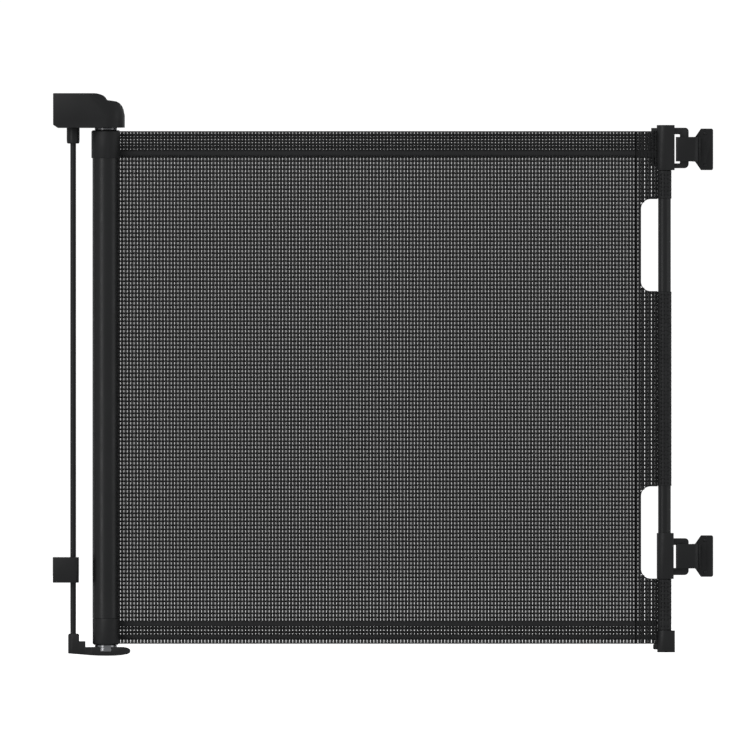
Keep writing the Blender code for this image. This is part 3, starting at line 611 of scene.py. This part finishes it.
def strand_look(name, tone=0.0060, thin=0.42, gloss=0.46, tooth=0.00003):
    """Coated yarn: filaments laid side by side with a slow twist, seen as fine slanting ribs
    through the coating, over a tone that drifts along the strand. The share thin of the light
    from behind comes through one layer, and next to none through two."""
    look, shader, place = new_look(name)
    laid = look.node_tree.nodes.new("ShaderNodeUVMap")
    laid.uv_map = "strand"
    twist = look.node_tree.nodes.new("ShaderNodeMapping")
    twist.inputs["Rotation"].default_value = (0.0, 0.0, 0.42)
    link(look, laid.outputs["UV"], twist.inputs["Vector"])
    rib = look.node_tree.nodes.new("ShaderNodeTexWave")
    rib.inputs["Scale"].default_value = 620.0
    rib.inputs["Distortion"].default_value = 1.2
    rib.inputs["Detail"].default_value = 1.0
    link(look, twist.outputs["Vector"], rib.inputs["Vector"])
    drift = noise(look, place, 45.0, 3.0)
    base = colour_between(look, drift, grey(tone * 0.8), grey(tone * 1.3))
    link(look, base, shader.inputs["Base Color"])
    shine = spread_between(look, rib.outputs["Fac"], gloss - 0.07, gloss + 0.1, 0.0, 1.0)
    link(look, shine, shader.inputs["Roughness"])
    link(look, raised(look, rib.outputs["Fac"], tooth, 0.8), shader.inputs["Normal"])
    shader.inputs["Specular IOR Level"].default_value = 0.38
    through = look.node_tree.nodes.new("ShaderNodeBsdfTranslucent")
    through.inputs["Color"].default_value = (0.44, 0.44, 0.44, 1.0)
    both = look.node_tree.nodes.new("ShaderNodeMixShader")
    both.inputs["Fac"].default_value = thin
    link(look, shader.outputs["BSDF"], both.inputs[1])
    link(look, through.outputs["BSDF"], both.inputs[2])
    link(look, both.outputs["Shader"], look.node_tree.nodes["Material Output"].inputs["Surface"])
    return look


mesh_look = strand_look("coated_strand")
hole_x = -0.4395 + PITCH_X * np.arange(155)
main_rows = 0.0590 + PITCH_Z * np.arange(116)
low_rows, low_heights = [0.0232, 0.0355, 0.0412, 0.0469], [0.0050, 0.0016, 0.0021, 0.0008]
top_rows = [0.8263, 0.8320, 0.8369, 0.8418, 0.8467, 0.8526]
top_heights = [0.0014, 0.0008, 0.0016, 0.0016, 0.0008, 0.0024]
hole_z = np.concatenate([low_rows, main_rows, top_rows])
hole_h = np.concatenate([low_heights, np.full(len(main_rows), HOLE_H), top_heights])


def between(holes, size, low, high):
    """(centres, widths) of the strands that fill from low to high between holes of a size."""
    left = np.concatenate([[low], holes + size / 2])
    right = np.concatenate([holes - size / 2, [high]])
    return (left + right) / 2, right - left


up_x, up_w = between(hole_x, np.full(len(hole_x), HOLE_W), SLOT_LEFT, SEAM_X)
along_z_at, along_z_w = between(hole_z, hole_h, MESH_BOTTOM, MESH_TOP)


def rolls_up(piece, look, nodes=()):
    """A part of the cloth between the slot and the seam, which on the gate shortens towards the slot's
    lip as the bar is drawn back: its material, the wall frame it hangs on, and a mesh of its own."""
    piece.data.materials.append(look)
    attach(piece, "wall_frame")
    if nodes:
        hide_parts(*nodes)
    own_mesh(piece)


for part, (a, b) in enumerate(((0, 52), (52, 104), (104, 156))):
    up = strands(
        f"mesh_upright_strands_{part + 1}",
        up_x[a:b],
        up_w[a:b],
        np.full(b - a, MESH_BOTTOM),
        np.full(b - a, MESH_TOP),
        along_z_at,
        a,
        True,
    )
    rolls_up(up, mesh_look, ("mesh_panel",) if part == 0 else ())

rows = len(along_z_at)
for part, (a, b) in enumerate(((0, 42), (42, 84), (84, rows))):
    level = strands(
        f"mesh_level_strands_{part + 1}",
        along_z_at[a:b],
        along_z_w[a:b],
        np.full(b - a, SLOT_LEFT),
        np.full(b - a, SEAM_X),
        up_x,
        a,
        False,
    )
    rolls_up(level, mesh_look)

# ------------------------------------------------------------------ side hem
# Along the bar the cloth is folded double and sewn, and two rounded hand cut-outs are taken out
# of it. The fold hides every other row of holes, and each cut edge is bound with a rolled strip. A
# near-black cord laid down the seam is painted shade: it stands for the dark line at the fold's edge.

HEM_RIGHT = 0.4476
CUT_X = 0.4200
CUTS = ((0.1249, 0.2768), (0.5938, 0.7456))
CORNER = 0.0165
HEM_HALF = 0.00060


def hem_end(z):
    """How far right the cloth reaches at height z. Beside a cut-out that is CUT_X, and within
    CORNER of its ends, at the depth d inside it, CUT_X + r - sqrt(r^2 - (r - d)^2)."""
    reach = np.full(len(z), HEM_RIGHT)
    for low, high in CUTS:
        inside = (z > low) & (z < high)
        d = np.clip(np.minimum(z - low, high - z), 0.0, CORNER)
        edge = CUT_X + CORNER - np.sqrt(np.maximum(CORNER**2 - (CORNER - d) ** 2, 0.0))
        reach = np.where(inside, edge, reach)
    return reach


hem_x = np.array([0.4157, 0.4205, 0.4267, 0.4322, 0.4377, 0.4431])
hem_w = np.array([0.0005, 0.0001, 0.0008, 0.0001, 0.0008, 0.0001])
hem_h = np.concatenate([low_heights, np.full(len(main_rows), 0.0034), [0.0005] * 5 + [0.0020]])
hem_up_x, hem_up_w = between(hem_x, hem_w, SEAM_X, HEM_RIGHT)
hem_z, hem_z_w = between(hole_z, hem_h, MESH_BOTTOM, MESH_TOP)
starts, ends, places, widths = [], [], [], []
for x, w in zip(hem_up_x, hem_up_w):
    bounds = [MESH_BOTTOM]
    if x + w * 0.3 > CUT_X:
        d = CORNER - math.sqrt(max(CORNER**2 - max(CUT_X + CORNER - x, 0.0) ** 2, 0.0))
        for low, high in CUTS:
            bounds += [low + d, high - d]
    bounds.append(MESH_TOP)
    for low, high in zip(bounds[0::2], bounds[1::2]):
        starts.append(low)
        ends.append(high)
        places.append(x)
        widths.append(w)
order = np.searchsorted(hem_up_x, places)
hem_parts = []
for number in range(len(hem_up_x)):
    pick = np.flatnonzero(order == number)
    hem_parts.append(
        strands(
            f"hem_upright_{number + 1}",
            np.array(places)[pick[:1]].repeat(len(pick)),
            np.array(widths)[pick],
            np.array(starts)[pick],
            np.array(ends)[pick],
            hem_z,
            number,
            True,
            1.0,
            SLOT_Y - 0.0004,
            HEM_HALF,
        )
    )
hem_level = strands(
    "hem_level",
    hem_z,
    hem_z_w,
    np.full(len(hem_z), SEAM_X - 0.0006),
    hem_end(hem_z),
    hem_up_x,
    0,
    False,
    1.0,
    SLOT_Y - 0.0004,
    HEM_HALF,
)


def made_one(name, parts):
    """One piece of several meshes, their corners, faces, UVs and smoothing end to end."""
    whole = bmesh.new()
    for part in parts:
        whole.from_mesh(part.data)
        bpy.data.objects.remove(part, do_unlink=True)
    mesh = bpy.data.meshes.new(name)
    whole.to_mesh(mesh)
    whole.free()
    piece = bpy.data.objects.new(name, mesh)
    scene.collection.objects.link(piece)
    return piece


hem_look = strand_look("hem_strand", 0.0110, 0.2, 0.5)
hem_upright = made_one("hem_upright_strands", hem_parts)
take_over(hem_upright, "bar", hem_look, "side_hem")
hem_level.name = "hem_level_strands"
take_over(hem_level, "bar", hem_look, "side_hem")


def along_path(name, path, section, close=False):
    """A section carried along a path in the gate's plane: at each point (x, z) of the path, with
    unit normal n beside it, section point (a, b) lies at (x + a nx, y + b, z + a nz)."""
    path, section = np.asarray(path, float), np.asarray(section, float)
    way = np.gradient(path, axis=0)
    way /= np.linalg.norm(way, axis=1, keepdims=True)
    side = np.stack([way[:, 1], -way[:, 0]], 1)
    points = np.empty((len(path), len(section), 3))
    points[..., 0] = path[:, :1] + side[:, :1] * section[None, :, 0]
    points[..., 1] = SLOT_Y + section[None, :, 1]
    points[..., 2] = path[:, 1:] + side[:, 1:] * section[None, :, 0]
    return joined_grid(name, points, ends=not close, along=close)


turn = np.linspace(0.0, 2 * np.pi, 8, endpoint=False)
roll = np.stack([0.00085 * np.cos(turn), 0.00105 * np.sin(turn) - 0.0004], 1)
bindings = []
for number, (low, high) in enumerate(CUTS):
    a = np.linspace(0.0, np.pi / 2, 12)
    lower = np.stack([CUT_X + CORNER - CORNER * np.sin(a), low + CORNER - CORNER * np.cos(a)], 1)
    upper = np.stack([CUT_X + CORNER - CORNER * np.cos(a), high - CORNER + CORNER * np.sin(a)], 1)
    right = np.array([[HEM_RIGHT, low]])
    route = np.concatenate([right, lower, upper, [[HEM_RIGHT, high]]])
    bindings.append(along_path(f"cut_binding_{number + 1}", route, roll))
binding = made_one("cut_edge_binding", bindings)
height_along = np.linspace(MESH_BOTTOM, MESH_TOP, 60)
cord_line = np.stack([np.full(60, SEAM_X), height_along], 1)
# Painted shade: a near-black cord down the seam, drawn where the folded layer's edge casts its dark line.
fold_shade_cord = along_path("fold_shade_cord", cord_line, roll * 1.3)

# ------------------------------------------------------------------ hem tapes and stitching
# Three flat polyester tapes hold the folded edges top and bottom, and two rows of lock stitch
# in black thread run along each. A third row runs down the seam beside the bar.

TAPE_FRONT = 0.0110
TAPE_BACK = 0.0115


def tape_look(name, tone=0.0125, sheen=0.15, shine=0.35):
    """Narrow woven tape: a herringbone of fine ribs, half a millimetre apart, that lean one way
    above the tape's middle and the other way below it, with a felted tone over them."""
    look, shader, place = new_look(name)
    rib = look.node_tree.nodes.new("ShaderNodeTexWave")
    rib.bands_direction = "DIAGONAL"
    rib.inputs["Scale"].default_value = 520.0
    rib.inputs["Distortion"].default_value = 0.8
    link(look, place, rib.inputs["Vector"])
    felt = noise(look, place, 300.0, 3.0)
    base = colour_between(look, felt, grey(tone * 0.8), grey(tone * 1.25))
    link(look, base, shader.inputs["Base Color"])
    link(look, spread_between(look, felt, 0.62, 0.78), shader.inputs["Roughness"])
    grain = raised(look, rib.outputs["Fac"], 0.00006, 0.7)
    link(look, raised(look, noise(look, place, 2600.0, 1.0), 0.00002, 0.6, grain), shader.inputs["Normal"])
    shader.inputs["Sheen Weight"].default_value = sheen
    shader.inputs["Sheen Roughness"].default_value = 0.4
    shader.inputs["Specular IOR Level"].default_value = shine
    return look


def tape(name, left, right, low, high, steps=420):
    """A flat tape with soft edges, drawn in a little at each stitch: its front stands out by
    0.12 mm * cos(2 pi x / 3.4 mm) between the stitches."""
    x = np.linspace(left, right, steps)[:, None]
    v = np.linspace(1.0, 0.0, 9)[None, :]
    z = low + (high - low) * v + 0 * x
    crown = 1.0 - (2 * v - 1) ** 6
    front = TAPE_FRONT + 0.0002 - 0.0002 * crown - 0.00006 * np.cos(2 * np.pi * x / 0.0034) * crown
    back = TAPE_BACK + 0 * x + 0 * v
    there = np.stack([x + 0 * v, front, z], -1)
    home = np.stack([x + 0 * v, back, z], -1)[:, ::-1]
    return joined_grid(name, np.concatenate([there, home], 1))


def stitches(name, first, last, pitch, length=0.0026, thick=0.00028):
    """Lock stitches from first to last, each a short thread that comes out of the cloth, lies on
    it and goes back in: at t from 0 to 1 it stands out by thick * sin(pi t)."""
    first, last = np.array(first, float), np.array(last, float)
    way = (last - first) / np.linalg.norm(last - first)
    other = np.cross((0.0, 1.0, 0.0), way)
    count = int(np.linalg.norm(last - first) / pitch)
    starts = first + way * (np.arange(count)[:, None] * pitch)
    t = np.linspace(0.0, 1.0, 5)
    a = np.linspace(0.0, 2 * np.pi, 5, endpoint=False)
    width = thick * (0.45 + 0.55 * np.sin(np.pi * t))
    line = way * (t[:, None] * length) + np.array([0.0, -1.0, 0.0]) * (thick * np.sin(np.pi * t))[:, None]
    ring = np.cos(a)[None, :, None] * other + np.sin(a)[None, :, None] * np.array([0.0, 1.0, 0.0])
    one = line[:, None, :] + ring * width[:, None, None]
    verts = (starts[:, None, None, :] + one[None]).reshape(-1, 3)
    i, j = np.arange(4)[:, None] * 5, np.arange(5)[None, :]
    quad = np.stack([i + j, i + (j + 1) % 5, i + 5 + (j + 1) % 5, i + 5 + j], -1).reshape(-1, 4)
    faces = (quad[None] + (np.arange(count) * 25)[:, None, None]).reshape(-1, 4)
    lid = np.concatenate([np.arange(5)[::-1], 20 + np.arange(5)]).reshape(2, 5)
    lids = (lid[None] + (np.arange(count) * 25)[:, None, None]).reshape(-1, 5)
    mesh = bpy.data.meshes.new(name)
    mesh.from_pydata(verts.tolist(), [], faces.tolist() + lids.tolist())
    mesh.shade_smooth()
    piece = bpy.data.objects.new(name, mesh)
    scene.collection.objects.link(piece)
    return piece


thread_look, thread_shader, thread_place = new_look("sewing_thread")
ply = noise(thread_look, thread_place, 3000.0, 1.0)
thread_tone = colour_between(thread_look, ply, grey(0.010), grey(0.022))
link(thread_look, thread_tone, thread_shader.inputs["Base Color"])
link(thread_look, spread_between(thread_look, ply, 0.5, 0.65), thread_shader.inputs["Roughness"])
link(thread_look, raised(thread_look, ply, 0.00004, 0.8), thread_shader.inputs["Normal"])

woven_tape = tape_look("hem_tape_weave", 0.0215)
take_over(binding, "bar", woven_tape, "side_hem")
# The cord's near-black tone, with no sheen and little shine, is painted shade for the fold's edge.
take_over(fold_shade_cord, "bar", tape_look("fold_shade_weave", 0.0015, 0.0, 0.12), "side_hem")
sewn_on = {0: [], 1: [], 2: []}
for node in ("top_hem_tape", "bottom_hem_tape", "bottom_edge_tape"):
    low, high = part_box(node)
    strip = tape(node + "_sewn", low.x, SEAM_X, low.z, high.z)
    rows = []
    for number, z in enumerate((low.z + 0.0011, high.z - 0.0011)):
        first = (-0.4335, TAPE_FRONT - 0.0001, z)
        last = (SEAM_X - 0.001, TAPE_FRONT - 0.0001, z)
        rows.append(stitches(f"{node}_thread_{number}", first, last, 0.0034))
    seam = made_one(node + "_stitching", rows)
    rolls_up(strip, woven_tape, (node,))
    rolls_up(seam, thread_look)
    sewn_on[2 if node == "top_hem_tape" else 0] += [strip, seam]

side_seams = []
for x, low, high in ((SEAM_X + 0.0007, 0.0205, 0.8540), (HEM_RIGHT - 0.0012, 0.2820, 0.5900)):
    side_seams.append(stitches("seam_thread", (x, 0.0108, low), (x, 0.0108, high), 0.0034))
side_seam = made_one("side_hem_stitching", side_seams)
side_seam.data.materials.append(thread_look)
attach(side_seam, "bar")

# ------------------------------------------------------------------ handle bar
# A 21 mm steel tube, powder coated black. The cloth's folded edge goes round it and back, in
# three lengths that leave the two grips bare.

BAR = (0.4590, SLOT_Y)
BAR_R = 0.0104
WRAP_R = 0.0111
WRAP_HALF = 0.00028

wrap_look = strand_look("wrap_strand", 0.0175, 0.0, 0.55)
bar_look = coated_metal("bar_coat", 0.0095, 0.4, 460.0)
low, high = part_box("handle_bar")
bar_outline = [(BAR_R - 0.0015, low.z), (BAR_R, low.z), (BAR_R, high.z), (BAR_R - 0.0015, high.z)]
bar = turned("handle_bar_tube", eased(bar_outline, 0.0004, 4), BAR, 96, True)
take_over(bar, "bar", bar_look, "handle_bar")


def wrapped(name, node):
    """The cloth round the bar: a flat weave of strands whose place u along the cloth becomes the
    angle u / R, and whose depth y becomes the radius R + (middle - y)."""
    low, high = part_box(node)
    count = 12
    pitch = 2 * np.pi * WRAP_R / count
    centre = pitch * (np.arange(count) + 0.5)
    inside = (hole_z > low.z + 0.003) & (hole_z < high.z - 0.003)
    row_z, row_w = between(hole_z[inside], hem_h[inside] * 0.6, low.z, high.z)
    wide, bottom, top = np.full(count, pitch - 0.0006), np.full(count, low.z), np.full(count, high.z)
    start, end = np.full(len(row_z), 0.00002), np.full(len(row_z), pitch * count - 0.00002)
    upright = strands(name + "_up", centre, wide, bottom, top, row_z, 0, True, 1.0, 0.0, WRAP_HALF)
    level = strands(name + "_level", row_z, row_w, start, end, centre, 0, False, 1.0, 0.0, WRAP_HALF)
    for part in (upright, level):
        flat = np.empty(len(part.data.vertices) * 3)
        part.data.vertices.foreach_get("co", flat)
        flat = flat.reshape(-1, 3)
        angle, out_r = flat[:, 0] / WRAP_R + np.pi, WRAP_R - flat[:, 1]
        bent = np.stack([BAR[0] + out_r * np.cos(angle), BAR[1] + out_r * np.sin(angle), flat[:, 2]], 1)
        part.data.vertices.foreach_set("co", bent.reshape(-1))
        take_over(part, "bar", wrap_look, node)
    return upright


for node in ("hem_wrap_top", "hem_wrap_middle", "hem_wrap_bottom"):
    wrapped(node + "_cloth", node)

# ------------------------------------------------------------------ loop sleeves and bar cap
# Two moulded sleeves grip the bar. Each carries a square loop that hangs on a wall catch, and
# a third moulding closes the bar's foot. They are the same black nylon as the bracket.

sleeve_look = moulded_black("sleeve_nylon", 0.0125, 0.47, 1100.0)
for node, edge in (("upper_loop_sleeve", 0.0006), ("lower_loop_sleeve", 0.0006), ("bar_end_cap", 0.0007)):
    sleeve = softened(node + "_shell", node, edge, 2, 38.0)
    take_over(sleeve, "bar", sleeve_look, node)

# ------------------------------------------------------------------ wall catches
# Each catch is one moulding: a plate that is screwed to the jamb, and a staple that stands in
# front of the loop and goes back through it. Small domed buttons close the two screw holes.

catch_look = moulded_black("catch_nylon", 0.0100, 0.44, 1200.0)
for node in ("upper_catch", "lower_catch"):
    hook = softened(node + "_shell", node, 0.0006, 3, 38.0)
    take_over(hook, "wall_catches", catch_look, node)

button_dome = moulded_black("cover_nylon", 0.0150, 0.3, 1500.0)
for side in ("upper", "lower"):
    for place in ("high", "low"):
        node = f"{side}_catch_cover_{place}"
        low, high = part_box(node)
        middle = (low + high) / 2
        back, head, front = high.y, 0.0267, low.y
        rim = head - 0.0002
        stem = [(0.0012, back), (0.0016, back - 0.0003), (0.0016, head), (0.0026, head), (0.0027, rim)]
        t = np.linspace(0.2, 1.45, 8)
        crown = np.stack([0.0027 * np.cos(t), rim + (front - rim) * np.sin(t)], 1)
        profile = np.concatenate([stem, crown])
        lid = turned(node + "_domed", profile, (0.0, 0.0), 40)
        flat = np.empty(len(lid.data.vertices) * 3)
        lid.data.vertices.foreach_get("co", flat)
        x, y, z = flat.reshape(-1, 3).T
        stood = np.stack([middle.x + x, z, middle.z + y], 1)
        lid.data.vertices.foreach_set("co", stood.reshape(-1))
        take_over(lid, "wall_catches", button_dome, node)

# ------------------------------------------------------------------ wound cloth
# What is left of the cloth lies in a roll on the roller, inside the housing. It is the same
# coated cloth, wound tight, and shows only a little through the slot.

wound = turned(
    "wound_cloth_roll",
    [(0.0083, 0.0192), (0.0115, 0.0192), (0.0115, 0.8554), (0.0083, 0.8554)],
    AXIS,
    72,
    True,
)
take_over(wound, "roller", tape_look("wound_cloth", 0.0095), "wound_mesh")
